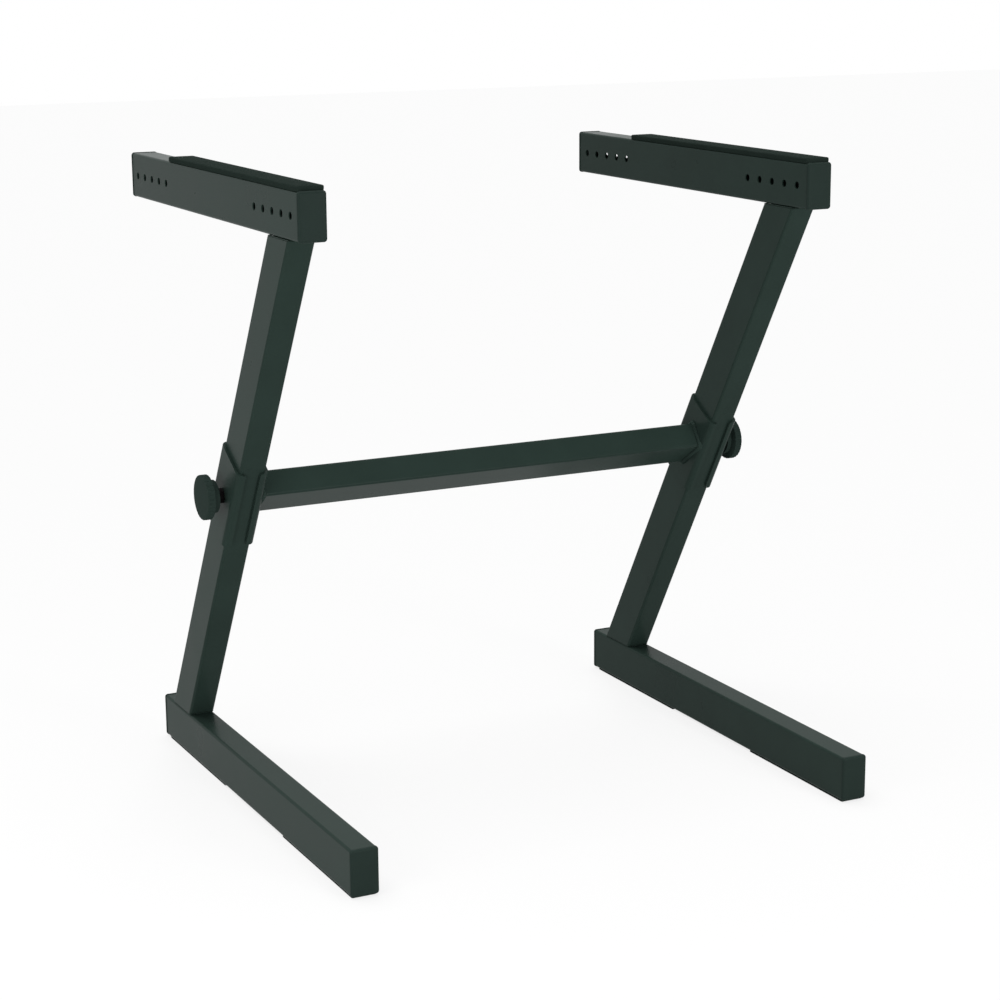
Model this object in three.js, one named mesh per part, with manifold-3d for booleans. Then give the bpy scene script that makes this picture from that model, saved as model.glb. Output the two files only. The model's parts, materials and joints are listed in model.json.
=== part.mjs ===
// Z keyboard stand: two Z-shaped legs of rectangular steel tube stand side by side, and a crossbar
// with an open sleeve welded to each of its ends joins them. The sleeves slide along the leaning
// columns, and a clamp knob holds each one.
// Millimetres. +Z is up, +X is to the right, and +Y runs from the feet's long front ends to their
// heels. The origin is the bottom centre of the box round the whole stand.
import * as THREE from 'three';
import { mergeVertices } from 'three/addons/utils/BufferGeometryUtils.js';
import Module from 'manifold-3d';

const wasm = await Module();
wasm.setup();

// The stand as a whole
const legSpacing = 592;
const footLength = 577;
const armLength = 523;
const armSetback = 96;
const armTopHeight = 700;
const heelLength = 33;
const noseLength = 30;

// The tube that every long piece is cut from
const tubeWidth = 30;
const tubeHeight = 50;
const tubeWall = 1.5;
const tubeCorner = 3;

// The crossbar is turned about its own length, away from level, and is clamped this far down the
// columns from their middles
const crossbarTiltDegrees = 33.5;
const crossbarDrop = 2.5;

// Gap between pieces that fit together, and how far a cutting tool runs past its cut
const clearance = 0.3;
const overrun = 1;
const sharpestCorner = 0.2;

// Welds
const seamHeight = 1;
const seamBulge = 1.5;
const seamRecess = 0.4;
const beadLeg = 3.5;

// Accessory holes through the arms
const holeDiameter = 8;
const holePitch = 25;
const holesPerRow = 5;
const holeFromEnd = 23;

// End plugs
const plugFlange = 4.5;
const plugProud = 0.5;
const plugEdge = 3;
const plugInsert = 14;
const plugWall = 2;

// Rubber strips under the feet and soft pads on the arms
const stripLength = 191;
const stripWidth = 27;
const stripThickness = 2;
const stripCorner = 2;
const stripEdge = 0.6;
const rearStripFromEnd = 12;
const padLength = 385;
const padWidth = 30;
const padThickness = 6;
const padCorner = 3;
const padEdge = 1.2;

// Sleeves
const sleeveLength = 106;
const sleeveWall = 3;
const lipOverhang = 6.5;
const lipCorner = 4;

// Clamp screws, their bushes and the knobs
const screwDiameter = 8;
const pressurePadLength = 3;
const bushDiameter = 17;
const bushLength = 7.3;
const knobStandoff = 8.3;
const knobDiameter = 50;
const knobRimLength = 8.9;
const knobRimEdge = 1;
const knobShoulder = 2.3;
const knobHubDiameter = 36.5;
const knobHubLength = 5;
const knobHubEdge = 0.8;
const knobBoreDepth = 12;
const knobFlutes = 30;
const fluteDepth = 0.7;

// How finely curves are drawn
const cornerSteps = 3;
const edgeSteps = 3;
const roundSteps = 20;
const stepsPerFlute = 4;

// Heights and places that follow from the sizes
const footBottom = stripThickness;
const footTop = footBottom + tubeHeight;
const armBottom = armTopHeight - tubeHeight;
const frontmost = Math.min(0, armSetback);
const rearmost = Math.max(footLength, armSetback + armLength);
const columnRise = armBottom - footTop;
const columnRun = footLength - heelLength - armSetback - noseLength;

// A column of full tube depth between the heel and the nose leans this far from level
const columnLean = Math.atan2(columnRise, columnRun)
  + Math.asin(tubeHeight / Math.hypot(columnRise, columnRun));
const columnTilt = Math.PI / 2 - columnLean;
const columnMiddleY = (footLength - heelLength + armSetback + noseLength) / 2;
const columnMiddleZ = (footTop + armBottom) / 2;

// Each side's name, and the way along X that points outwards there
const sides = [['left', -1], ['right', 1]];

const steelPaint = { color: 0x2b3431, roughness: 0.34, metalness: 0.0 };
const plugPlastic = { color: 0x262d2b, roughness: 0.5, metalness: 0.0 };
const softRubber = { color: 0x232927, roughness: 0.85, metalness: 0.0 };
const weldMetal = { color: 0x313a37, roughness: 0.4, metalness: 0.0 };
const knobPlastic = { color: 0x2a312f, roughness: 0.5, metalness: 0.0 };
const blackSteel = { color: 0x101313, roughness: 0.45, metalness: 0.6 };

// One named piece with a material of its own
function piece(name, geometry, look) {
  const mesh = new THREE.Mesh(geometry, new THREE.MeshStandardMaterial(look));
  mesh.name = name;
  return mesh;
}

// Points round a rounded rectangle, anticlockwise, grown outwards on every side
function roundedOutline(width, height, corner, grow) {
  const radius = Math.max(corner + grow, sharpestCorner);
  const reachX = width / 2 + grow - radius;
  const reachY = height / 2 + grow - radius;
  const quarters = [[1, 1], [-1, 1], [-1, -1], [1, -1]];
  return quarters.flatMap(([signX, signY], quarter) => {
    const points = [];
    for (let step = 0; step <= cornerSteps; step += 1) {
      const angle = (quarter + step / cornerSteps) * Math.PI / 2;
      const x = signX * reachX + radius * Math.cos(angle);
      const y = signY * reachY + radius * Math.sin(angle);
      points.push(new THREE.Vector2(x, y));
    }
    return points;
  });
}

// A flat outline lifted to a height
function lifted(outline, height) {
  return outline.map((point) => new THREE.Vector3(point.x, point.y, height));
}

// Skin through loops of equally many points. Each loop is joined to the next one. A ring also joins
// its last loop to its first, and any other skin is closed by a fan at each end.
function skin(loops, isRing) {
  const count = loops[0].length;
  const points = loops.flat();
  const index = [];
  const bands = isRing ? loops.length : loops.length - 1;
  for (let band = 0; band < bands; band += 1) {
    const here = band * count;
    const next = ((band + 1) % loops.length) * count;
    for (let i = 0; i < count; i += 1) {
      const j = (i + 1) % count;
      index.push(here + i, here + j, next + j);
      index.push(here + i, next + j, next + i);
    }
  }
  if (!isRing) {
    const last = points.length - count;
    const firstMiddle = points.length;
    const lastMiddle = firstMiddle + 1;
    points.push(middleOf(loops[0]), middleOf(loops[loops.length - 1]));
    for (let i = 0; i < count; i += 1) {
      const j = (i + 1) % count;
      index.push(firstMiddle, j, i);
      index.push(lastMiddle, last + i, last + j);
    }
  }
  const geometry = new THREE.BufferGeometry().setFromPoints(points);
  geometry.setIndex(index);
  geometry.computeVertexNormals();
  return geometry;
}

function middleOf(loop) {
  const sum = loop.reduce((total, point) => total.add(point), new THREE.Vector3());
  return sum.divideScalar(loop.length);
}

// Joining and cutting
function toSolid(geometry) {
  const bare = geometry.clone();
  bare.deleteAttribute('normal');
  bare.deleteAttribute('uv');
  const merged = mergeVertices(bare);
  return new wasm.Manifold(new wasm.Mesh({
    numProp: 3,
    vertProperties: merged.attributes.position.array,
    triVerts: Uint32Array.from(merged.index.array),
  }));
}

function toGeometry(solid) {
  const mesh = solid.getMesh();
  const geometry = new THREE.BufferGeometry();
  geometry.setAttribute('position', new THREE.BufferAttribute(mesh.vertProperties, mesh.numProp));
  geometry.setIndex(new THREE.BufferAttribute(mesh.triVerts, 1));
  geometry.computeVertexNormals();
  return geometry;
}

function cutAway(geometry, tools) {
  const solid = tools.reduce((left, tool) => left.subtract(toSolid(tool)), toSolid(geometry));
  return toGeometry(solid);
}

// Straight tube along Z, centred
function straightTube(length) {
  const outer = roundedOutline(tubeWidth, tubeHeight, tubeCorner, 0);
  const inner = roundedOutline(tubeWidth, tubeHeight, tubeCorner, -tubeWall);
  const loops = [
    lifted(outer, -length / 2),
    lifted(outer, length / 2),
    lifted(inner, length / 2),
    lifted(inner, -length / 2),
  ];
  return skin(loops, true);
}

// Length that an end plug's flange, with its fitting gap, takes from a tube
const plugTakes = plugFlange + clearance;

function footTube() {
  return straightTube(footLength - 2 * plugTakes);
}

// Arm tube with a row of holes through both side walls near each end
function armTube() {
  const tube = straightTube(armLength - 2 * plugTakes);
  const drillLength = tubeWidth + 2 * overrun;
  const drills = [];
  for (const end of [-1, 1]) {
    for (let hole = 0; hole < holesPerRow; hole += 1) {
      const along = armLength / 2 - holeFromEnd - hole * holePitch;
      const drill = new THREE.CylinderGeometry(holeDiameter / 2, holeDiameter / 2, drillLength, roundSteps);
      drill.rotateZ(Math.PI / 2);
      drill.translate(0, 0, end * along);
      drills.push(drill);
    }
  }
  return cutAway(tube, drills);
}

// In the column's own frame Z runs up along it and Y points to its rear, upper face. A loop there is
// cut level at a height that is measured from the column's middle.
function mitred(outline, height) {
  return outline.map((point) => {
    const along = (height - point.y * Math.sin(columnTilt)) / Math.cos(columnTilt);
    return new THREE.Vector3(point.x, point.y, along);
  });
}

// The joint gap above the foot and below the arm holds the weld seam
const seamLow = columnRise / 2 - clearance;
const seamHigh = seamLow - seamHeight;
const columnEnd = seamHigh - clearance;

function columnTube() {
  const outer = roundedOutline(tubeWidth, tubeHeight, tubeCorner, 0);
  const inner = roundedOutline(tubeWidth, tubeHeight, tubeCorner, -tubeWall);
  const loops = [
    mitred(outer, -columnEnd),
    mitred(outer, columnEnd),
    mitred(inner, columnEnd),
    mitred(inner, -columnEnd),
  ];
  return skin(loops, true);
}

// Weld seam between the column's lower end and the foot: set back at the flush sides, and bulging
// out in front of the column and behind it
function seamWeld() {
  const width = tubeWidth - 2 * seamRecess;
  const wide = roundedOutline(width, tubeHeight + 2 * seamBulge, tubeCorner, 0);
  const narrow = roundedOutline(width, tubeHeight, tubeCorner, 0);
  const inner = roundedOutline(tubeWidth, tubeHeight, tubeCorner, -tubeWall);
  const loops = [
    mitred(wide, -seamLow),
    mitred(narrow, -seamHigh),
    mitred(inner, -seamHigh),
    mitred(inner, -seamLow),
  ];
  return skin(loops, true);
}

// Weld bead round the crossbar's end, a quarter round in section. Z runs along the crossbar, and the
// sleeve's face is at zero.
function crossbarBead() {
  const loopAt = (grow, height) => lifted(
    roundedOutline(tubeWidth, tubeHeight, tubeCorner, clearance + grow),
    clearance + height,
  );
  const loops = [loopAt(0, 0)];
  for (let step = 0; step <= edgeSteps; step += 1) {
    const angle = (step / edgeSteps) * Math.PI / 2;
    loops.push(loopAt(beadLeg * Math.cos(angle), beadLeg * Math.sin(angle)));
  }
  return skin(loops, true);
}

// Plug whose flange covers the tube's end and whose hollow insert sits inside the tube. Z points
// out of the tube, and the flange starts at zero.
function endPlug() {
  const insertGrow = -tubeWall - clearance;
  const loopAt = (grow, height) => lifted(
    roundedOutline(tubeWidth, tubeHeight, tubeCorner, grow),
    height,
  );
  const loops = [
    loopAt(insertGrow - plugWall, 0),
    loopAt(insertGrow - plugWall, -plugInsert),
    loopAt(insertGrow, -plugInsert),
    loopAt(insertGrow, 0),
    loopAt(plugProud, 0),
  ];
  for (let step = 0; step <= edgeSteps; step += 1) {
    const angle = (step / edgeSteps) * Math.PI / 2;
    const inset = plugEdge * (1 - Math.cos(angle));
    const height = plugFlange - plugEdge * (1 - Math.sin(angle));
    loops.push(loopAt(plugProud - inset, height));
  }
  return skin(loops, false);
}

// Flat strip lying on Z zero, long in Y, with rounded upper edges
function softStrip(width, length, thickness, corner, edge) {
  const loopAt = (grow, height) => lifted(roundedOutline(width, length, corner, grow), height);
  const loops = [loopAt(0, 0)];
  for (let step = 0; step <= edgeSteps; step += 1) {
    const angle = (step / edgeSteps) * Math.PI / 2;
    loops.push(loopAt(-edge * (1 - Math.cos(angle)), thickness - edge * (1 - Math.sin(angle))));
  }
  return skin(loops, false);
}

// Tool that rounds off the free corner of one lip. Across is the lip's way along X, and up is its
// end's way along Z, each 1 or -1.
function lipCornerTool(across, up) {
  const slot = tubeWidth / 2 - lipOverhang;
  const end = sleeveLength / 2;
  const outline = [new THREE.Vector2(across * (slot - overrun), up * (end - lipCorner))];
  for (let step = 0; step <= edgeSteps; step += 1) {
    const angle = (step / edgeSteps) * Math.PI / 2;
    const x = slot + lipCorner * (1 - Math.cos(angle));
    const z = end - lipCorner * (1 - Math.sin(angle));
    outline.push(new THREE.Vector2(across * x, up * z));
  }
  outline.push(new THREE.Vector2(across * (slot + lipCorner), up * (end + overrun)));
  outline.push(new THREE.Vector2(across * (slot - overrun), up * (end + overrun)));
  const tool = new THREE.ExtrudeGeometry(new THREE.Shape(outline), {
    depth: sleeveWall + 2 * overrun,
    bevelEnabled: false,
  });
  tool.rotateX(Math.PI / 2);
  return tool.translate(0, overrun - tubeHeight / 2 - clearance, 0);
}

// Sleeve: an open channel with lips over the column's front face. Its section is drawn in the
// column's frame, where the front is at negative Y, and a hole for the clamp screw goes through the
// outer side wall. Outwards is 1 for the right side and -1 for the left.
function sleeve(outwards) {
  const innerX = tubeWidth / 2 + clearance;
  const innerY = tubeHeight / 2 + clearance;
  const outerX = innerX + sleeveWall;
  const outerY = innerY + sleeveWall;
  const inner = tubeCorner + clearance;
  const outer = inner + sleeveWall;
  const slot = tubeWidth / 2 - lipOverhang;
  const quarter = Math.PI / 2;
  const section = new THREE.Shape();
  section.moveTo(slot, -outerY);
  section.absarc(outerX - outer, outer - outerY, outer, -quarter, 0, false);
  section.absarc(outerX - outer, outerY - outer, outer, 0, quarter, false);
  section.absarc(outer - outerX, outerY - outer, outer, quarter, 2 * quarter, false);
  section.absarc(outer - outerX, outer - outerY, outer, 2 * quarter, 3 * quarter, false);
  section.lineTo(-slot, -outerY);
  section.lineTo(-slot, -innerY);
  section.absarc(inner - innerX, inner - innerY, inner, 3 * quarter, 2 * quarter, true);
  section.absarc(inner - innerX, innerY - inner, inner, 2 * quarter, quarter, true);
  section.absarc(innerX - inner, innerY - inner, inner, quarter, 0, true);
  section.absarc(innerX - inner, inner - innerY, inner, 0, -quarter, true);
  section.lineTo(slot, -innerY);
  const channel = new THREE.ExtrudeGeometry(section, {
    depth: sleeveLength,
    bevelEnabled: false,
    curveSegments: cornerSteps,
  });
  channel.translate(0, 0, -sleeveLength / 2);
  const holeRadius = screwDiameter / 2 + clearance;
  const drill = new THREE.CylinderGeometry(holeRadius, holeRadius, sleeveWall + 2 * overrun, roundSteps);
  drill.rotateZ(Math.PI / 2);
  drill.translate(outwards * (innerX + sleeveWall / 2), 0, 0);
  const corners = [[1, 1], [-1, 1], [-1, -1], [1, -1]];
  const cornerTools = corners.map(([across, up]) => lipCornerTool(across, up));
  return cutAway(channel, [drill, ...cornerTools]);
}

// From here to the knob, Z points outwards along the clamp screw, and zero is the sleeve's outer face
function clampBush() {
  const bore = screwDiameter / 2 + clearance;
  const rim = bushDiameter / 2;
  const profile = [
    new THREE.Vector2(bore, clearance),
    new THREE.Vector2(rim, clearance),
    new THREE.Vector2(rim, bushLength),
    new THREE.Vector2(bore, bushLength),
    new THREE.Vector2(bore, clearance),
  ];
  const geometry = new THREE.LatheGeometry(profile, roundSteps);
  return geometry.rotateX(Math.PI / 2);
}

// Round bar from one height to another
function roundBar(diameter, from, to) {
  const geometry = new THREE.CylinderGeometry(diameter / 2, diameter / 2, to - from, roundSteps);
  geometry.rotateX(Math.PI / 2);
  return geometry.translate(0, 0, (from + to) / 2);
}

const screwTip = -sleeveWall + pressurePadLength + clearance;
const knobBoreEnd = knobStandoff + knobBoreDepth;

function pressurePad() {
  return roundBar(screwDiameter, -sleeveWall, screwTip - clearance);
}

function clampScrew() {
  return roundBar(screwDiameter, screwTip, knobBoreEnd - clearance);
}

// Knob: a fluted rim that slopes down to a smaller hub, with a blind bore that holds the screw
function knob() {
  const count = knobFlutes * stepsPerFlute;
  const loopAt = (radius, depth, height) => {
    const loop = [];
    for (let i = 0; i < count; i += 1) {
      const angle = (i / count) * 2 * Math.PI;
      const waist = depth * (1 - Math.cos(angle * knobFlutes)) / 2;
      const reach = radius - waist;
      loop.push(new THREE.Vector3(reach * Math.cos(angle), reach * Math.sin(angle), height));
    }
    return loop;
  };
  const bore = screwDiameter / 2 + clearance;
  const hub = knobHubDiameter / 2;
  const rim = knobDiameter / 2;
  const hubHigh = knobStandoff + knobHubLength;
  const rimLow = hubHigh + knobShoulder;
  const rimHigh = rimLow + knobRimLength;
  const loops = [
    loopAt(bore, 0, knobBoreEnd),
    loopAt(bore, 0, knobStandoff),
    loopAt(hub - knobHubEdge, 0, knobStandoff),
    loopAt(hub, 0, knobStandoff + knobHubEdge),
    loopAt(hub, 0, hubHigh),
  ];
  for (let step = 0; step <= edgeSteps; step += 1) {
    const angle = (step / edgeSteps) * Math.PI / 2;
    const inset = knobRimEdge * (1 - Math.sin(angle));
    loops.push(loopAt(rim - inset, fluteDepth, rimLow + knobRimEdge * (1 - Math.cos(angle))));
  }
  for (let step = 0; step <= edgeSteps; step += 1) {
    const angle = (step / edgeSteps) * Math.PI / 2;
    const inset = knobRimEdge * (1 - Math.cos(angle));
    loops.push(loopAt(rim - inset, fluteDepth, rimHigh - knobRimEdge * (1 - Math.sin(angle))));
  }
  return skin(loops, false);
}

// A pair of plugs on a tube that lies along Y and is centred on the group's origin
function addPlugs(group, name, length) {
  const flangeStart = length / 2 - plugFlange;
  const front = piece(`${name}_front_plug`, endPlug(), plugPlastic);
  front.rotation.x = Math.PI / 2;
  front.position.y = -flangeStart;
  const rear = piece(`${name}_rear_plug`, endPlug(), plugPlastic);
  rear.rotation.x = -Math.PI / 2;
  rear.position.y = flangeStart;
  group.add(front, rear);
}

function footGroup(side) {
  const group = new THREE.Group();
  const tube = piece(`${side}_foot_tube`, footTube(), steelPaint);
  tube.rotation.x = -Math.PI / 2;
  group.add(tube);
  addPlugs(group, `${side}_foot`, footLength);
  const stripEnds = {
    front: plugTakes + stripLength / 2 - footLength / 2,
    rear: footLength / 2 - rearStripFromEnd - stripLength / 2,
  };
  for (const [end, y] of Object.entries(stripEnds)) {
    const geometry = softStrip(stripWidth, stripLength, stripThickness, stripCorner, stripEdge);
    const strip = piece(`${side}_foot_${end}_strip`, geometry, softRubber);
    strip.rotation.y = Math.PI;
    strip.position.set(0, y, -tubeHeight / 2);
    group.add(strip);
  }
  group.position.set(0, footLength / 2, footBottom + tubeHeight / 2);
  return group;
}

function armGroup(side) {
  const group = new THREE.Group();
  const tube = piece(`${side}_arm_tube`, armTube(), steelPaint);
  tube.rotation.x = -Math.PI / 2;
  group.add(tube);
  addPlugs(group, `${side}_arm`, armLength);
  const pad = piece(
    `${side}_arm_pad`,
    softStrip(padWidth, padLength, padThickness, padCorner, padEdge),
    softRubber,
  );
  pad.position.set(0, plugTakes + padLength / 2 - armLength / 2, tubeHeight / 2);
  group.add(pad);
  group.position.set(0, armSetback + armLength / 2, armTopHeight - tubeHeight / 2);
  return group;
}

// Group that leans with the column, this far down it from its middle
function columnFrame(down) {
  const group = new THREE.Group();
  const y = columnMiddleY + down * Math.sin(columnTilt);
  const z = columnMiddleZ - down * Math.cos(columnTilt);
  group.position.set(0, y, z);
  group.rotation.x = columnTilt;
  return group;
}

function columnGroup(side) {
  const group = columnFrame(0);
  const tube = piece(`${side}_column_tube`, columnTube(), steelPaint);
  const footWeld = piece(`${side}_foot_weld`, seamWeld(), weldMetal);
  const armWeld = piece(`${side}_arm_weld`, seamWeld(), weldMetal);
  armWeld.rotation.x = Math.PI;
  group.add(tube, footWeld, armWeld);
  return group;
}

// From a leg's middle plane to the outer faces of its sleeve's side walls
const sleeveFace = tubeWidth / 2 + clearance + sleeveWall;

// Sleeve with its bush, clamp screw and knob
function clampGroup(side, outwards) {
  const group = columnFrame(crossbarDrop);
  const screwLine = new THREE.Group();
  screwLine.position.x = outwards * sleeveFace;
  screwLine.rotation.y = outwards * Math.PI / 2;
  screwLine.add(
    piece(`${side}_clamp_bush`, clampBush(), blackSteel),
    piece(`${side}_pressure_pad`, pressurePad(), knobPlastic),
    piece(`${side}_clamp_screw`, clampScrew(), blackSteel),
    piece(`${side}_knob`, knob(), knobPlastic),
  );
  group.add(piece(`${side}_sleeve`, sleeve(outwards), steelPaint), screwLine);
  return group;
}

// Crossbar between the sleeves, with the weld bead at each of its ends
function crossbarGroup() {
  const group = columnFrame(crossbarDrop);
  group.rotation.x = -crossbarTiltDegrees * Math.PI / 180;
  const halfSpan = legSpacing / 2 - sleeveFace;
  const tube = piece('crossbar_tube', straightTube(2 * (halfSpan - clearance)), steelPaint);
  tube.rotation.y = Math.PI / 2;
  group.add(tube);
  for (const [side, outwards] of sides) {
    const bead = piece(`${side}_sleeve_weld`, crossbarBead(), weldMetal);
    bead.position.x = outwards * halfSpan;
    bead.rotation.y = -outwards * Math.PI / 2;
    group.add(bead);
  }
  return group;
}

const stand = new THREE.Group();
const frame = new THREE.Group();
frame.position.y = -(frontmost + rearmost) / 2;
stand.add(frame);

for (const [side, outwards] of sides) {
  const leg = new THREE.Group();
  leg.position.x = outwards * legSpacing / 2;
  leg.add(footGroup(side), armGroup(side), columnGroup(side), clampGroup(side, outwards));
  frame.add(leg);
}
frame.add(crossbarGroup());

export default stand;
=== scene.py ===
"""Z keyboard stand: the looks of a stand with two Z-shaped legs of painted rectangular tube.

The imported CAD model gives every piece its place. Each operator below builds one kind of piece as a
surface worked out with numpy, in metres and in the stand's own frame: +Z is up, +X is to the right,
and +Y runs from the feet's long front ends to their heels.
"""

import json
import math

import bmesh
import bpy
import numpy as np
from mathutils import Matrix, Vector


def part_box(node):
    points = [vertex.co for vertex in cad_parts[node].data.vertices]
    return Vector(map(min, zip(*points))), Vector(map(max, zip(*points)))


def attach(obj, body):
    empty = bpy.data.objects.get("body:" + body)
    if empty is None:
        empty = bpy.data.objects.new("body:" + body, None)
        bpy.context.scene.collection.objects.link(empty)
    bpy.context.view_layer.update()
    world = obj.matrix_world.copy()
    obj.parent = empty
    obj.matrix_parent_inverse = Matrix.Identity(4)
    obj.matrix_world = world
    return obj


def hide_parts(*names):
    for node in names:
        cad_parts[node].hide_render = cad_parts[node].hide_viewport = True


bl_info = {
    "name": "Z Keyboard Stand",
    "version": (1, 0, 0),
    "blender": (4, 5, 0),
    "location": "3D View > Sidebar > Keyboard Stand",
    "description": "Builds the painted tubes, plugs, pads, sleeves and clamps of a Z keyboard stand",
    "category": "Add Mesh",
}

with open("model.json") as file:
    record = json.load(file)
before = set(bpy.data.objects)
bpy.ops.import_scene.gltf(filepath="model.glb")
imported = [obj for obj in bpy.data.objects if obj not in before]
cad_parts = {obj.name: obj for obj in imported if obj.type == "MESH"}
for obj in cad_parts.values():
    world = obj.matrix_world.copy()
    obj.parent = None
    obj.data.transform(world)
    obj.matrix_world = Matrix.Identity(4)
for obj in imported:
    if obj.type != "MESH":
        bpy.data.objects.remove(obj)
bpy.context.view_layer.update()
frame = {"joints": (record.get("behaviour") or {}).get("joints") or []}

SIDES = ("left", "right")
ENDS = ("front", "rear")

# How finely curves are drawn
CORNER_STEPS = 10
EDGE_STEPS = 6
BEVEL_STEPS = 3
HOLE_STEPS = 10
ROUND_STEPS = 64
THREAD_STEPS_PER_TURN = 12
STEPS_PER_FLUTE = 10
STEPS_PER_RIPPLE = 6
PAD_STEPS_ACROSS = 12

# Stations along a pierced tube are rounded to this many digits, so that neighbouring cells share them
STATION_DIGITS = 7

# Points closer than this, in metres, are one point, and edges a tenth as long are taken out. Edges that
# turn more than the angle are sharp
MERGE_DISTANCE = 1e-6
SHARP_ANGLE = math.radians(32)

# No outline has corners of a smaller radius than this, in metres
LEAST_CORNER = 0.0003


# Colour


def linear(hex_colour):
    """sRGB hex to the linear colour that shaders use."""
    parts = [int(hex_colour[at : at + 2], 16) / 255 for at in (1, 3, 5)]
    return tuple(
        part / 12.92 if part <= 0.04045 else ((part + 0.055) / 1.055) ** 2.4 for part in parts
    )


# What a user would change


def length_property(name, description, metres):
    return bpy.props.FloatProperty(name=name, description=description, default=metres, unit="LENGTH")


def share_property(name, description, share):
    return bpy.props.FloatProperty(name=name, description=description, default=share, subtype="FACTOR")


def count_property(name, description, count):
    return bpy.props.IntProperty(name=name, description=description, default=count)


def colour_property(name, description, hex_colour):
    colour = linear(hex_colour)
    return bpy.props.FloatVectorProperty(name=name, description=description, default=colour, subtype="COLOR")


class StandSizes(bpy.types.PropertyGroup):
    """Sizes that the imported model's boxes don't give."""

    tube_wall: length_property("Tube wall", "Wall of the steel tube", 0.0015)
    tube_corner: length_property("Tube corner", "Outer corner radius of the tube", 0.003)
    fit_gap: length_property("Fit gap", "Gap between pieces that fit together", 0.0003)
    hole_diameter: length_property("Hole diameter", "Accessory holes in the arms", 0.008)
    hole_pitch: length_property("Hole pitch", "From one accessory hole to the next", 0.025)
    hole_from_end: length_property("First hole", "From the arm's end to its first hole", 0.023)
    holes_per_row: count_property("Holes per row", "Accessory holes near each end of an arm", 5)
    hole_edge: length_property("Hole edge", "Rounding of the painted hole edge", 0.0004)
    plug_flange: length_property("Plug flange", "Thickness of an end plug's flange", 0.0045)
    plug_edge: length_property("Plug edge", "Rounding of an end plug's outer edge", 0.003)
    plug_wall: length_property("Plug wall", "Wall of a plug's hollow insert", 0.002)
    plug_crown: length_property("Plug crown", "How far a plug's face swells", 0.0003)
    strip_edge: length_property("Strip edge", "Rounding of a foot strip's edge", 0.0006)
    strip_corner: length_property("Strip corner", "Corner radius of a foot strip", 0.002)
    pad_corner: length_property("Pad corner", "Corner radius of an arm pad", 0.003)
    pad_edge: length_property("Pad edge", "Rounding of an arm pad's upper edge", 0.0016)
    pad_crown: length_property("Pad crown", "How far an arm pad's top swells", 0.0007)
    pad_bulge_share: share_property("Pad bulge", "A pad's widest line, as a share of its side's height", 0.33)
    bar_tilt: bpy.props.FloatProperty(
        name="Crossbar tilt",
        description="Turn of the crossbar about its own length, away from level",
        default=math.radians(33.5),
        subtype="ANGLE",
    )
    bead_leg: length_property("Weld bead", "Leg of the weld bead at the crossbar's ends", 0.0035)
    bead_ripple: length_property("Bead ripple", "From one ripple of the bead to the next", 0.002)
    bead_wave_share: share_property("Bead wave", "Half the dip between ripples, as a share of the leg", 0.09)
    seam_bulge: length_property("Seam bulge", "How far a column's weld stands out", 0.0014)
    sleeve_wall: length_property("Sleeve wall", "Thickness of a sleeve's bent sheet", 0.003)
    sleeve_edge: length_property("Sleeve edge", "Rounding of a sleeve's cut edges", 0.0003)
    lip_overhang: length_property("Sleeve lip", "How far a lip laps the column's front", 0.0065)
    lip_corner: length_property("Lip corner", "Rounding of a lip's free corners", 0.0034)
    bush_chamfer: length_property("Bush chamfer", "Chamfer of a bush's outer edge", 0.0008)
    thread_pitch: length_property("Thread pitch", "Pitch of the clamp screw's thread", 0.00125)
    thread_depth_share: share_property("Thread depth", "Depth of the thread, as a share of its pitch", 0.55)
    thread_crest_share: share_property("Thread crest", "Flat top of the thread, as a share of its pitch", 0.2)
    screw_chamfer: length_property("Screw chamfer", "Chamfer of the clamp screw's ends", 0.0007)
    button_edge: length_property("Button edge", "Rounding of the pressure button's edges", 0.0005)
    knob_hub: length_property("Knob hub", "Diameter of a knob's hub", 0.0365)
    knob_hub_length: length_property("Hub length", "Straight part of a knob's hub", 0.005)
    knob_shoulder: length_property("Knob shoulder", "Length of the cone from hub to rim", 0.0023)
    knob_bore: length_property("Knob bore", "Depth of the screw's hole in a knob", 0.012)
    knob_edge: length_property("Knob edge", "Rounding of a knob's rim", 0.001)
    knob_crown: length_property("Knob crown", "How far a knob's face swells", 0.0003)
    flute_depth: length_property("Flute depth", "How deep the grip flutes are", 0.0007)
    knob_flutes: count_property("Knob flutes", "Grip flutes round a knob's rim", 30)


class StandColours(bpy.types.PropertyGroup):
    """Colours of the finishes."""

    paint: colour_property("Paint", "Black powder coat", "#2b3934")
    plug: colour_property("Plugs", "Black moulded plastic", "#283430")
    knob: colour_property("Knobs", "Black moulded nylon", "#2b3733")
    pad: colour_property("Arm pads", "Black closed-cell foam", "#252f2b")
    strip: colour_property("Foot strips", "Black rubber", "#242d2a")
    screw: colour_property("Screws", "Blackened steel", "#1c181a")


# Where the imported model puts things


def box_of(node):
    """A node's lowest and highest corners as two arrays."""
    low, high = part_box(node)
    return np.array(low), np.array(high)


def joint_named(name):
    return next(joint for joint in frame["joints"] if joint["name"] == name)


def column_axes():
    """Unit vectors up along the columns and out of their rear, upper faces."""
    up = np.array(joint_named("crossbar_slide")["axis"], dtype=float)
    up /= np.linalg.norm(up)
    return up, np.array([0.0, up[2], -up[1]])


def column_tube_sizes():
    """Width and depth of the tube's section, from the foot tube's box."""
    low, high = box_of("left_foot_tube")
    return high[0] - low[0], high[2] - low[2]


def crossbar_axes():
    """Unit vectors across the crossbar's section: through its thin way, and down its broad front face."""
    tilt = bpy.context.scene.stand_sizes.bar_tilt
    return np.array([0, math.sin(tilt), math.cos(tilt)]), np.array([0, math.cos(tilt), -math.sin(tilt)])


def outwards(side):
    return -1.0 if side == "left" else 1.0


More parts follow.
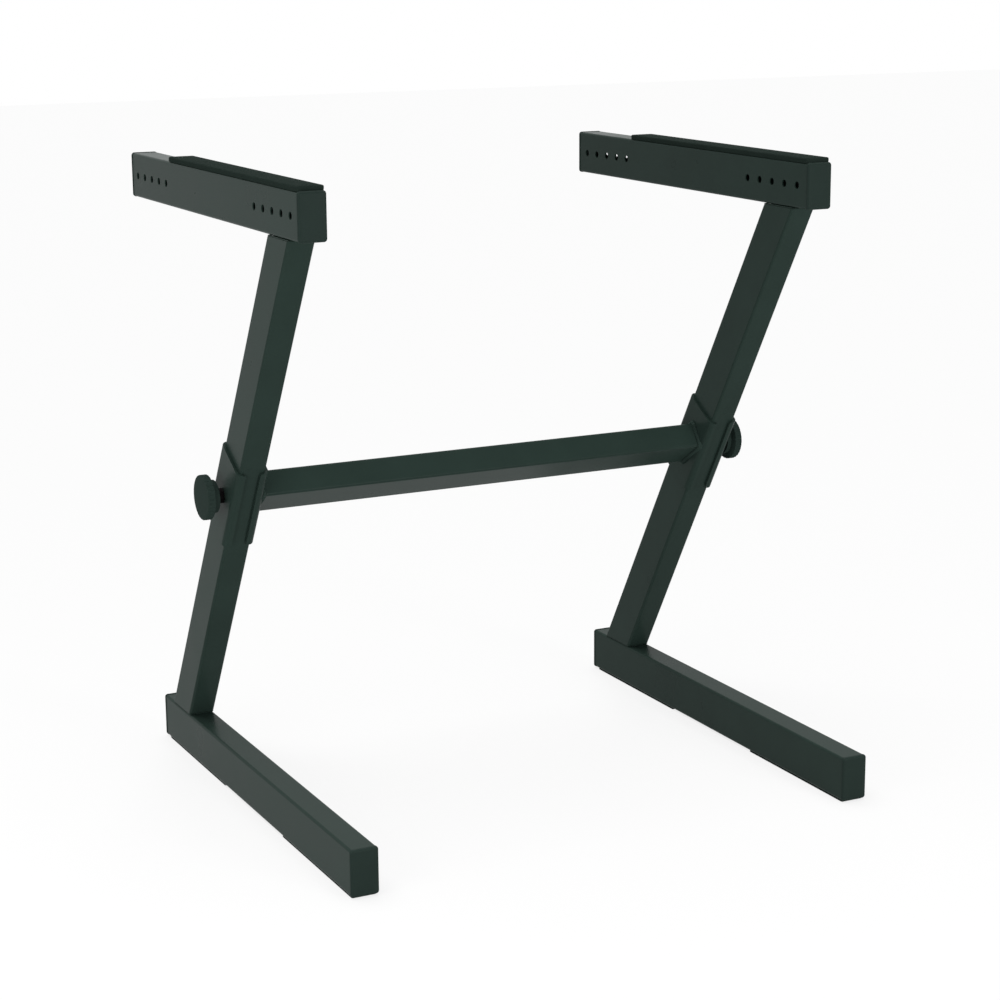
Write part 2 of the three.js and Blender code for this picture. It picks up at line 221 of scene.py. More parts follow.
def screw_start(side):
    """Point on the sleeve's outer face where the clamp screw's axis leaves it."""
    return np.array(joint_named(f"{side}_knob_turn")["pos_m"], dtype=float)


# Outlines and surfaces


def quarter_arcs(width, height, corner, quarters):
    """Points on the given quarter circles of a rounded rectangle: each corner's centre lies one
    radius in from both sides, and a point is that centre plus the radius turned by its angle."""
    quarters = np.asarray(quarters)
    sweep = np.linspace(0, 1, CORNER_STEPS + 1)
    angle = (quarters[:, None] + sweep[None, :]) * (np.pi / 2)
    across = np.where(np.isin(quarters % 4, (0, 3)), 1, -1)[:, None] * (width / 2 - corner)
    along = np.where(quarters % 4 < 2, 1, -1)[:, None] * (height / 2 - corner)
    points = np.stack([across + corner * np.cos(angle), along + corner * np.sin(angle)], axis=-1)
    return points.reshape(-1, 2)


def rounded_rectangle(width, height, corner, grow=0.0):
    """Closed outline of a rounded rectangle, moved outwards by grow. Its last point is its first."""
    corner = max(corner + grow, LEAST_CORNER)
    points = quarter_arcs(width + 2 * grow, height + 2 * grow, corner, (0, 1, 2, 3))
    return np.vstack([points, points[:1]])


def lifted(outline, height):
    """A flat outline at a height: each (x, y) becomes (x, y, height)."""
    heights = np.broadcast_to(height, outline.shape[:-1])
    return np.concatenate([outline, heights[..., None]], axis=-1)


def stacked(width, height, corner, levels):
    """Outlines of a rounded rectangle, one for each pair of how far it has grown and its height."""
    return [lifted(rounded_rectangle(width, height, corner, grow), level) for grow, level in levels]


def crowned(rim, crown):
    """Loops over a face from its rim to its middle on the local Z axis. It swells as the square of the
    way in."""
    left = 1 - np.linspace(0, 1, EDGE_STEPS + 1)[1:]
    return [rim * (share, share, 1) + (0, 0, crown * (1 - share**2)) for share in left]


def fan(loop):
    """Cap of a closed loop: straight lines from its points to their middle."""
    middle = np.broadcast_to(loop[:-1].mean(axis=0), loop.shape)
    return np.stack([loop, middle])


def rounding(edge, steps=EDGE_STEPS):
    """A rounded edge in section, a quarter circle: each step's distance in from the side, which is the
    radius less its cosine, and its distance short of the end, which is the radius less its sine."""
    turn = np.linspace(0, np.pi / 2, steps + 1)
    return edge - edge * np.stack([np.cos(turn), np.sin(turn)], axis=-1)


def placed(grids, origin, across, along, up):
    """Grids with each local (x, y, z) carried to origin + x * across + y * along + z * up."""
    return [origin + grid @ np.stack([across, along, up]) for grid in grids]


def standing_in(node, grids):
    """Level grids, carried from the origin to the middle of a node's underside."""
    low, high = box_of(node)
    origin = (low + high) / 2
    origin[2] = low[2]
    return [origin + grid for grid in grids]


def linked_object(name, data):
    """A new object in the scene."""
    item = bpy.data.objects.new(name, data)
    bpy.context.scene.collection.objects.link(item)
    return item


def solid(name, grids, body, slot, node, bevel=0.0):
    """One closed mesh from grids of points, which rides on a body and replaces a node. Each grid of rows
    and columns gives one face between four neighbours. Points that two grids share are merged, and faces
    are turned to point outwards. The slot says which finish it has."""
    starts = np.cumsum([0] + [grid.shape[0] * grid.shape[1] for grid in grids])
    faces = []
    for start, grid in zip(starts, grids):
        index = start + np.arange(grid.shape[0] * grid.shape[1]).reshape(grid.shape[:2])
        corners = [index[:-1, :-1], index[:-1, 1:], index[1:, 1:], index[1:, :-1]]
        faces.append(np.stack(corners, axis=-1).reshape(-1, 4))
    faces = np.concatenate(faces)
    points = np.concatenate([grid.reshape(-1, 3) for grid in grids])
    mesh = bpy.data.meshes.new(name)
    mesh.vertices.add(len(points))
    mesh.vertices.foreach_set("co", points.astype(np.float32).ravel())
    mesh.loops.add(faces.size)
    mesh.loops.foreach_set("vertex_index", faces.ravel().astype(np.int32))
    mesh.polygons.add(len(faces))
    mesh.polygons.foreach_set("loop_start", np.arange(0, faces.size, 4, dtype=np.int32))
    mesh.update(calc_edges=True)
    merged = bmesh.new()
    merged.from_mesh(mesh)
    bmesh.ops.remove_doubles(merged, verts=merged.verts, dist=MERGE_DISTANCE)
    bmesh.ops.dissolve_degenerate(merged, edges=merged.edges, dist=MERGE_DISTANCE / 10)
    bmesh.ops.recalc_face_normals(merged, faces=merged.faces)
    merged.to_mesh(mesh)
    merged.free()
    mesh.polygons.foreach_set("use_smooth", np.ones(len(mesh.polygons), dtype=bool))
    mesh.set_sharp_from_angle(angle=SHARP_ANGLE)
    piece = linked_object(name, mesh)
    mesh.materials.append(finish(slot))
    if bevel:
        bend = piece.modifiers.new("Rounded edges", "BEVEL")
        bend.width = bevel
        bend.segments = BEVEL_STEPS
        bend.limit_method = "ANGLE"
        bend.angle_limit = SHARP_ANGLE
    weighting = piece.modifiers.new("Flat faces stay flat", "WEIGHTED_NORMAL")
    weighting.keep_sharp = True
    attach(piece, body)
    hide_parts(node)
    return piece


# Materials

MM_PER_METRE = 1000

# A noise texture's values nearly all lie between these
NOISE_LOW = 0.3
NOISE_HIGH = 0.7


def empty_tree(owner):
    """The node tree of a new material or world, with nothing in it."""
    owner.use_nodes = True
    owner.node_tree.nodes.clear()
    return owner.node_tree


def add_node(tree, kind, settings=None, links=None):
    """Adds a node, sets its attributes and input values by name, and links other sockets to it."""
    node = tree.nodes.new(kind)
    for key, value in (settings or {}).items():
        if hasattr(node, key):
            setattr(node, key, value)
        else:
            node.inputs[key].default_value = value
    for key, socket in (links or {}).items():
        tree.links.new(socket, node.inputs[key])
    return node


def finish_material(
    name, colour_key, *, roughness, spread, specular, grain_mm, height_mm, cloud_mm, cloud_share, metallic=0.0
):
    """A finish: a colour with broad, faint clouds, a roughness that wanders with them by its spread, and
    a fine relief of grain_mm from crest to crest."""
    colour = getattr(bpy.context.scene.stand_colours, colour_key)
    material = bpy.data.materials.new(name)
    tree = empty_tree(material)
    place = add_node(tree, "ShaderNodeTexCoord").outputs["Object"]
    broad = {"Scale": MM_PER_METRE / cloud_mm, "Detail": 3.0, "Roughness": 0.55}
    cloud = add_node(tree, "ShaderNodeTexNoise", broad, {"Vector": place}).outputs["Fac"]
    narrow = {"Scale": MM_PER_METRE / grain_mm, "Detail": 2.0, "Roughness": 0.5}
    grain = add_node(tree, "ShaderNodeTexNoise", narrow, {"Vector": place}).outputs["Fac"]
    tint = add_node(tree, "ShaderNodeValToRGB", links={"Fac": cloud})
    stops = ((NOISE_LOW, 1 - cloud_share), (NOISE_HIGH, 1 + cloud_share))
    for element, (position, level) in zip(tint.color_ramp.elements, stops):
        element.position = position
        element.color = (*(channel * level for channel in colour), 1)
    seen = {"From Min": NOISE_LOW, "From Max": NOISE_HIGH}
    asked = {"To Min": roughness - spread, "To Max": roughness + spread}
    shine = add_node(tree, "ShaderNodeMapRange", seen | asked, {"Value": cloud})
    relief = {"Strength": 1.0, "Distance": height_mm / MM_PER_METRE}
    bump = add_node(tree, "ShaderNodeBump", relief, {"Height": grain})
    gloss = {"Specular IOR Level": specular, "Metallic": metallic}
    skin = {
        "Base Color": tint.outputs["Color"],
        "Roughness": shine.outputs["Result"],
        "Normal": bump.outputs["Normal"],
    }
    shader = add_node(tree, "ShaderNodeBsdfPrincipled", gloss, skin)
    add_node(tree, "ShaderNodeOutputMaterial", links={"Surface": shader.outputs["BSDF"]})
    return material


def powder_coated_steel():
    """Black polyester powder coat, sprayed and baked. It gives the eye a half-gloss, faintly green
    black with the soft ripple called orange peel, 2.5 mm from crest to crest."""
    return finish_material(
        "powder_coated_steel", "paint", roughness=0.3, spread=0.03, specular=0.03,
        grain_mm=2.5, height_mm=0.006, cloud_mm=60, cloud_share=0.06
    )


def powder_coated_weld():
    """The same powder coat over a weld: the metal's ripple shows through it."""
    return finish_material(
        "powder_coated_weld", "paint", roughness=0.38, spread=0.05, specular=0.03,
        grain_mm=1.2, height_mm=0.05, cloud_mm=20, cloud_share=0.1
    )


def moulded_polypropylene():
    """Polypropylene moulded in a spark-eroded tool: a satin black with a grain of about 0.4 mm, drawn
    here at 0.8 mm so that it shows."""
    return finish_material(
        "moulded_polypropylene", "plug", roughness=0.5, spread=0.04, specular=0.04,
        grain_mm=0.8, height_mm=0.012, cloud_mm=25, cloud_share=0.05
    )


def moulded_nylon():
    """Glass-filled nylon of the knobs: a duller satin black with a slightly mottled skin."""
    return finish_material(
        "moulded_nylon", "knob", roughness=0.6, spread=0.05, specular=0.01,
        grain_mm=0.9, height_mm=0.015, cloud_mm=12, cloud_share=0.08
    )


def closed_cell_foam():
    """Closed-cell foam sheet with its skin on: matt black with cells of about 0.7 mm, drawn at 1.2 mm
    so that they show."""
    return finish_material(
        "closed_cell_foam", "pad", roughness=0.85, spread=0.05, specular=0.01,
        grain_mm=1.2, height_mm=0.06, cloud_mm=35, cloud_share=0.08
    )


def sheet_rubber():
    """Cut rubber sheet: dull black with a fine calendered grain."""
    return finish_material(
        "sheet_rubber", "strip", roughness=0.8, spread=0.05, specular=0.04,
        grain_mm=0.7, height_mm=0.03, cloud_mm=30, cloud_share=0.08
    )


def blackened_steel():
    """Steel blackened in hot salts: nearly black and slightly oily, so it keeps a narrow sheen."""
    return finish_material(
        "blackened_steel", "screw", roughness=0.4, spread=0.06, specular=0.05,
        grain_mm=0.5, height_mm=0.004, cloud_mm=8, cloud_share=0.12, metallic=0.35
    )


FINISHES = {
    "steel_paint": powder_coated_steel,
    "weld_paint": powder_coated_weld,
    "plug_plastic": moulded_polypropylene,
    "knob_plastic": moulded_nylon,
    "pad_foam": closed_cell_foam,
    "foot_rubber": sheet_rubber,
    "black_steel": blackened_steel,
}


def finish(slot):
    """The material of a slot's finish, made the first time it is asked for."""
    maker = FINISHES[slot]
    return bpy.data.materials.get(maker.__name__) or maker()


# Tubes


def section_strips(width, height, corner):
    """A tube section in four strips: over the top, down the left, under the bottom and up the right.
    The side strips are straight, and the others are two quarter circles and the flat between."""
    reach = height / 2 - corner
    climb = np.linspace(-reach, reach, HOLE_STEPS + 1)
    right = np.stack([np.full_like(climb, width / 2), climb], axis=-1)
    left = np.stack([np.full_like(climb, -width / 2), climb[::-1]], axis=-1)
    top = quarter_arcs(width, height, corner, (0, 1))
    bottom = quarter_arcs(width, height, corner, (2, 3))
    return top, left, bottom, right


def swept(outline, stations):
    """An outline carried along a straight path: every outline point at every station."""
    return np.stack([lifted(outline, station) for station in stations])


def hole_surface(middle, half_length, reach, face, wall, radius, edge):
    """Tube wall round one hole, from the outer face's cell border to the inner face's: the border is a
    rectangle and the hole a circle, and a point of one is joined to the point of the other that has
    the same share of the way round. The outer edge is a quarter circle in section."""
    share = np.linspace(-1, 1, HOLE_STEPS + 1)[:-1]
    one = np.ones_like(share)
    along = np.concatenate([one, -share, -one, share, [1]]) * half_length
    climb = np.concatenate([share, one, -share, -one, [-1]]) * reach
    angle = np.linspace(-0.25, 1.75, 4 * HOLE_STEPS + 1) * np.pi

    def loop(depth, up, forward):
        return np.stack([np.full_like(angle, face - np.sign(face) * depth), up, middle + forward], axis=-1)

    def ring(distance, depth):
        return loop(depth, distance * np.sin(angle), distance * np.cos(angle))

    def border(depth):
        return loop(depth, climb, along)

    lip = [ring(radius + short, inset) for inset, short in rounding(edge)]
    return np.stack([border(0), *lip, ring(radius, wall), border(wall)])


def tube_grids(width, height, length, wall, corner, holes=(), pitch=0.0, radius=0.0, edge=0.0):
    """Straight rectangular tube along local Z, centred, with its inner wall and ring-shaped ends. Where
    holes are given, the side walls have a cell of one pitch round each."""
    outer = section_strips(width, height, corner)
    inner = section_strips(width - 2 * wall, height - 2 * wall, corner - wall)
    ends = (-length / 2, length / 2)
    stations = ends
    plain = [ends]
    if len(holes):
        cell = np.linspace(-pitch / 2, pitch / 2, HOLE_STEPS + 1)
        inside = np.unique(np.round(holes[:, None] + cell, STATION_DIGITS))
        stations = [ends[0], *inside, ends[1]]
        edges = np.unique(np.round(holes[:, None] + cell[[0, -1]], STATION_DIGITS))
        # A span between two cell edges is plain if no hole is at its middle
        spans = zip(edges[:-1], edges[1:])
        plain = [span for span in spans if np.abs(sum(span) / 2 - holes).min() > pitch / 4]
        plain = [(ends[0], edges[0]), *plain, (edges[-1], ends[1])]
    grids = []
    for top, left, bottom, right in (outer, inner):
        grids += [swept(top, stations), swept(bottom, stations)]
        for span in plain:
            grids += [swept(left, span), swept(right, span)]
    for station in ends:
        grids += [np.stack([lifted(a, station), lifted(b, station)]) for a, b in zip(outer, inner)]
    reach = height / 2 - corner
    for hole in holes:
        for face in (-width / 2, width / 2):
            middle = round(hole, STATION_DIGITS)
            grids.append(hole_surface(middle, pitch / 2, reach, face, wall, radius, edge))
    return grids


def box_tube(node, **holes):
    """Grids of a level tube that fills a node's box and runs along Y."""
    sizes = bpy.context.scene.stand_sizes
    low, high = box_of(node)
    width, length, height = high - low
    grids = tube_grids(width, height, length, sizes.tube_wall, sizes.tube_corner, **holes)
    middle = (low + high) / 2
    return placed(grids, middle, (1, 0, 0), (0, 0, 1), (0, 1, 0))


class BuildTubes(bpy.types.Operator):
    """Foot tubes, pierced arm tubes and the crossbar"""

    bl_idname = "keyboard_stand.tubes"
    bl_label = "Straight tubes"

    def execute(self, context):
        sizes = context.scene.stand_sizes
        for side in SIDES:
            leg, foot, arm = f"{side}_leg", f"{side}_foot_tube", f"{side}_arm_tube"
            solid(f"{side}_painted_foot", box_tube(foot), leg, "steel_paint", foot)
            start = box_of(f"{side}_arm_front_plug")[0][1]
            end = box_of(f"{side}_arm_rear_plug")[1][1]
            row = (end - start) / 2 - sizes.hole_from_end - sizes.hole_pitch * np.arange(sizes.holes_per_row)
            grids = box_tube(
                arm,
                holes=np.sort(np.concatenate([-row, row])),
                pitch=sizes.hole_pitch,
                radius=sizes.hole_diameter / 2,
                edge=sizes.hole_edge,
            )
            solid(f"{side}_painted_arm", grids, leg, "steel_paint", arm)
        low, high = box_of("crossbar_tube")
        width, height = column_tube_sizes()
        length = high[0] - low[0]
        thin, down = crossbar_axes()
        grids = tube_grids(width, height, length, sizes.tube_wall, sizes.tube_corner)
        grids = placed(grids, (low + high) / 2, thin, down, (1, 0, 0))
        solid("painted_crossbar", grids, "crossbar", "steel_paint", "crossbar_tube")
        return {"FINISHED"}


def level_cuts(cuts, middle):
    """Grids of a column's outlines, each carried to where its edges meet a level plane: the way along the
    column is the height left after the outline's own rise, over the column's rise per length. Heights
    count from the column's middle."""
    up, rear = column_axes()
    loops = [lifted(outline, (height - outline[:, 1] * rear[2]) / up[2]) for outline, height in cuts]
    return placed([np.stack(loops)], middle, (1, 0, 0), rear, up)


class BuildColumns(bpy.types.Operator):
    """Leaning columns and the weld seams at their ends"""

    bl_idname = "keyboard_stand.columns"
    bl_label = "Columns and their welds"

    def execute(self, context):
        sizes = context.scene.stand_sizes
        tube = (*column_tube_sizes(), sizes.tube_corner)
        outer = rounded_rectangle(*tube)
        inner = rounded_rectangle(*tube, -sizes.tube_wall)
        for side in SIDES:
            node = f"{side}_column_tube"
            low, high = box_of(node)
            middle = (low + high) / 2
            half = (high[2] - low[2]) / 2
            cuts = [(outer, -half), (outer, half), (inner, half), (inner, -half), (outer, -half)]
            grids = level_cuts(cuts, middle)
            solid(f"{side}_painted_column", grids, f"{side}_leg", "steel_paint", node)
            for end in ("foot", "arm"):
                self.build_seam(side, end, middle, sizes, inner)
        return {"FINISHED"}

    def build_seam(self, side, end, middle, sizes, inner):
        """Weld seam in a column's mitre: level rings whose front and rear swell as half a sine wave
        over the seam's height."""
        node = f"{side}_{end}_weld"
        low, high = box_of(node)
        width = high[0] - low[0]
        depth = column_tube_sizes()[1]
        heights = np.linspace(low[2], high[2], EDGE_STEPS + 1) - middle[2]
        swell = np.sin(np.linspace(0, np.pi, EDGE_STEPS + 1)) * sizes.seam_bulge
        cuts = []
        for height, grow in zip(heights, swell):
            cuts.append((rounded_rectangle(width, depth + 2 * grow, sizes.tube_corner), height))
        cuts += [(inner, heights[-1]), (inner, heights[0]), cuts[0]]
        grids = level_cuts(cuts, middle)
        solid(f"{side}_{end}_seam", grids, f"{side}_leg", "weld_paint", node)


# End plugs, foot strips and arm pads


class BuildPlugs(bpy.types.Operator):
    """Plastic plugs in the ends of the feet and arms"""

    bl_idname = "keyboard_stand.plugs"
    bl_label = "End plugs"

    def execute(self, context):
        for side in SIDES:
            for part in ("foot", "arm"):
                for end in ENDS:
                    node = f"{side}_{part}_{end}_plug"
                    facing = 1.0 if end == "rear" else -1.0
                    self.build_plug(node, f"{side}_leg", context.scene.stand_sizes, facing)
        return {"FINISHED"}

    def build_plug(self, node, leg, sizes, facing):
        """Plug with a quarter-round outer edge, a crowned face and a hollow insert inside the tube."""
        tube_width, tube_height = column_tube_sizes()
        low, high = box_of(node)
        width, length = (high - low)[:2]
        proud = (width - tube_width) / 2
        insert = length - sizes.plug_flange
        shrink = sizes.tube_wall + sizes.fit_gap
        hollow = shrink + sizes.plug_wall
        rim = sizes.plug_flange - sizes.plug_crown
        levels = [(-hollow, 0), (-hollow, -insert), (-shrink, -insert), (-shrink, 0), (proud, 0)]
        edge = rounding(sizes.plug_edge, 2 * EDGE_STEPS)
        levels += [(proud - inset, rim - short) for inset, short in edge]
        loops = stacked(tube_width, tube_height, sizes.tube_corner, levels)
        loops += crowned(loops[-1], sizes.plug_crown)
        origin = (low + high) / 2
        origin[1] = (high[1] if facing > 0 else low[1]) - facing * sizes.plug_flange
        grids = [np.stack(loops), fan(loops[0])]
        grids = placed(grids, origin, (facing, 0, 0), (0, 0, 1), (0, facing, 0))
        solid(f"{node}_moulded", grids, leg, "plug_plastic", node)


class BuildStrips(bpy.types.Operator):
    """Rubber strips under the feet"""

    bl_idname = "keyboard_stand.strips"
    bl_label = "Foot strips"

    def execute(self, context):
        sizes = context.scene.stand_sizes
        for side in SIDES:
            for end in ENDS:
                node = f"{side}_foot_{end}_strip"
                low, high = box_of(node)
                width, length, thickness = high - low
                levels = [(0, thickness)]
                levels += [(-inset, short) for inset, short in rounding(sizes.strip_edge)]
                loops = stacked(width, length, sizes.strip_corner, levels)
                grids = standing_in(node, [np.stack(loops), fan(loops[0]), fan(loops[-1])])
                solid(f"{node}_rubber", grids, f"{side}_leg", "foot_rubber", node)
        return {"FINISHED"}


class BuildPads(bpy.types.Operator):
    """Foam pads on the arms"""

    bl_idname = "keyboard_stand.pads"
    bl_label = "Arm pads"

    def execute(self, context):
        sizes = context.scene.stand_sizes
        for side in SIDES:
            node = f"{side}_arm_pad"
            low, high = box_of(node)
            grids = standing_in(node, self.pad_grids(sizes, *(high - low)))
            pad = solid(f"{side}_foam_pad", grids, f"{side}_leg", "pad_foam", node)
        return {"FINISHED"}

    def pad_grids(self, sizes, width, length, thickness):
        """Pad that lies flat on its tube. Its sides lean out slightly up to its widest line, its upper
        edge is rounded, and its top swells as the square of the way in from its rim to its middle line."""
        shoulder = thickness - sizes.pad_crown
        levels = [(-sizes.fit_gap, 0), (0, shoulder * sizes.pad_bulge_share)]
        levels += [(-inset, shoulder - short) for inset, short in rounding(sizes.pad_edge)]
        loops = stacked(width, length, sizes.pad_corner, levels)
        rim = loops[-1]
        inner = []
        for share in np.linspace(0, 1, PAD_STEPS_ACROSS + 1)[1:]:
            shrink = (width / 2 - sizes.pad_edge) * share
            scaled = rim.copy()
            scaled[:, 0] *= 1 - share
            scaled[:, 1] -= np.sign(scaled[:, 1]) * np.minimum(shrink, np.abs(scaled[:, 1]))
            scaled[:, 2] = shoulder + sizes.pad_crown * (1 - (1 - share) ** 2)
            inner.append(scaled)
        return [np.stack(loops + inner), fan(loops[0])]


# Crossbar sleeves and their weld beads


class BuildSleeves(bpy.types.Operator):
    """Bent sleeves that slide on the columns, and the weld beads that hold the crossbar to them"""

    bl_idname = "keyboard_stand.sleeves"
    bl_label = "Sleeves and weld beads"

    def execute(self, context):
        sizes = context.scene.stand_sizes
        up, rear = column_axes()
        for side in SIDES:
            self.build_sleeve(side, sizes, up, rear)
            self.build_bead(side, sizes)
        return {"FINISHED"}

    def build_sleeve(self, side, sizes, up, rear):
        """Sheet bent round the column: an outer and an inner outline, one wall apart, open at the front
        between two lips, carried along the column. A lip's free edge is straight between two quarter
        circles. The clamp screw's hole is a cell of the outer side wall, and its edge is half as round as
        that of the arms' holes."""
        node = f"{side}_sleeve"
        width, depth = column_tube_sizes()
        low, high = box_of(node)
        wall = sizes.sleeve_wall
        clear = (high[0] - low[0] - width) / 2 - wall
        middle = screw_start(side)
        middle[0] = (low[0] + high[0]) / 2
        outer_depth = depth + 2 * (clear + wall)
        length = ((high[2] - low[2]) - outer_depth * rear[2]) / up[2]
        half_cell = sizes.hole_pitch / 2
        cell = np.linspace(-half_cell, half_cell, HOLE_STEPS + 1)
        stations = np.concatenate([[-length / 2], cell, [length / 2]])
        ends = stations[[0, -1]]
        grids = []
        bends, free_edges = [], []
        for grow in (clear + wall, clear):
            outline_width, outline_depth = width + 2 * grow, depth + 2 * grow
            corner = sizes.tube_corner + grow
            back, left, _, right = section_strips(outline_width, outline_depth, corner)
            strips = {"back": back, "left": left, "right": right}
            for strip, quarter in (("left_bend", 2), ("right_bend", 3)):
                strips[strip] = quarter_arcs(outline_width, outline_depth, corner, (quarter,))
            for strip, outline in strips.items():
                spans = [stations[:2], stations[-2:]] if strip == side else [stations]
                grids += [swept(outline, span) for span in spans]
            bends.append(strips)
            lips = [self.lip_edge(sizes, sign, width, -outline_depth / 2, stations) for sign in (-1, 1)]
            free_edges.append(lips)
            grids += [np.stack([edge, anchor]) for edge, anchor in lips]
        for end in ends:
            grids += [np.stack([lifted(strips[strip], end) for strips in bends]) for strip in bends[0]]
        for (outer_edge, outer_anchor), (inner_edge, inner_anchor) in zip(*free_edges):
            grids.append(np.stack([outer_edge, inner_edge]))
            for at in (0, -1):
                outer_end = np.stack([outer_edge[at], outer_anchor[at]])
                inner_end = np.stack([inner_edge[at], inner_anchor[at]])
                grids.append(np.stack([outer_end, inner_end]))
        screw_low, screw_high = box_of(f"{side}_clamp_screw")
        radius = (screw_high[1] - screw_low[1]) / 2 + clear
        reach = depth / 2 - sizes.tube_corner
        face = outwards(side) * (width / 2 + clear + wall)
        grids.append(hole_surface(0.0, half_cell, reach, face, wall, radius, sizes.hole_edge / 2))
        grids = placed(grids, middle, (1, 0, 0), rear, up)
        name = f"{side}_bent_sleeve"
        solid(name, grids, "crossbar", "steel_paint", node, bevel=sizes.sleeve_edge)

    def lip_edge(self, sizes, sign, width, level, stations):
        """A lip's free edge, from its lower end to its upper one, and for each of its points the point
        of the bend line that the flat lip's surface is drawn to."""
        slot = width / 2 - sizes.lip_overhang
        inset, short = rounding(sizes.lip_corner).T
        across = slot + short
        climb = stations[-1] - inset
        inner = stations[1:-1]
        across = sign * np.concatenate([across, np.full_like(inner, slot), across[::-1]])
        along = np.concatenate([-climb, inner, climb[::-1]])
        edge = np.stack([across, np.full_like(across, level), along], axis=-1)
        anchor = edge.copy()
        anchor[:, 0] = sign * (width / 2 - sizes.tube_corner)
        flat = np.ones_like(climb)
        anchor[:, 2] = np.concatenate([flat * stations[0], inner, flat * stations[-1]])
        return edge, anchor

    def build_bead(self, side, sizes):
        """Weld bead round the crossbar's end: a quarter circle in section, carried round the tube, with
        a leg that rises and falls as a wave. Its foot keeps to the sleeve's wall: where the wall bends
        away at the front, the foot sinks as a quarter circle does."""
        node = f"{side}_sleeve_weld"
        low, high = box_of(node)
        width, height = column_tube_sizes()
        gap = sizes.fit_gap
        leg = sizes.bead_leg
        inner = rounded_rectangle(width, height, sizes.tube_corner, gap)
        way = np.cumsum([0, *np.linalg.norm(np.diff(inner, axis=0), axis=1)])
        ripples = round(way[-1] / sizes.bead_ripple)
        even = np.linspace(0, way[-1], ripples * STEPS_PER_RIPPLE + 1)
        path = np.stack([np.interp(even, way, inner[:, axis]) for axis in (0, 1)], axis=-1)
        # An outline one metre further out gives each point's way out
        far = rounded_rectangle(width, height, sizes.tube_corner, gap + 1)
        out = np.stack([np.interp(even, way, (far - inner)[:, axis]) for axis in (0, 1)], axis=-1)
        wave = 1 - sizes.bead_wave_share * (1 + np.cos(2 * np.pi * even / way[-1] * ripples))
        reach = leg * wave
        loops = [lifted(path, 0)]
        for turn in np.linspace(0, np.pi / 2, EDGE_STEPS + 1):
            loops.append(lifted(path + out * (reach * math.cos(turn))[:, None], reach * math.sin(turn)))
        loops.append(loops[0])
        grid = np.stack(loops)
        origin = (low + high) / 2
        origin[0] = high[0] if side == "right" else low[0]
        thin, down = crossbar_axes()
        rear = column_axes()[1]
        bend = sizes.tube_corner + gap + sizes.sleeve_wall
        flat_end = height / 2 - sizes.tube_corner
        forward = -(grid[..., 0] * (thin @ rear) + grid[..., 1] * (down @ rear))
        past = np.clip(forward - flat_end, 0, bend)
        fall = bend - np.sqrt(bend**2 - past**2)
        grid[..., 2] -= fall * (1 - grid[..., 2] / leg)
        grids = placed([grid], origin, thin, down, (-outwards(side), 0, 0))
        solid(f"{side}_bead", grids, "crossbar", "weld_paint", node)


# Clamps


# Angles once round a turned piece
FULL_TURN = np.linspace(0, 2 * np.pi, ROUND_STEPS + 1)


def round_loops(radius, height, angle):
    """Closed loops round the local Z axis: the angle's cosine and sine, times a radius that may change
    with it."""
    points = np.broadcast_arrays(radius * np.cos(angle), radius * np.sin(angle), height)
    loops = np.stack(points, axis=-1)
    loops[..., -1, :] = loops[..., 0, :]
    return loops


def turned(profile):
    """A profile of (radius, height) points turned once round the local Z axis."""
    radius, height = np.array(profile).T[:, :, None]
    return round_loops(radius, height, FULL_TURN)


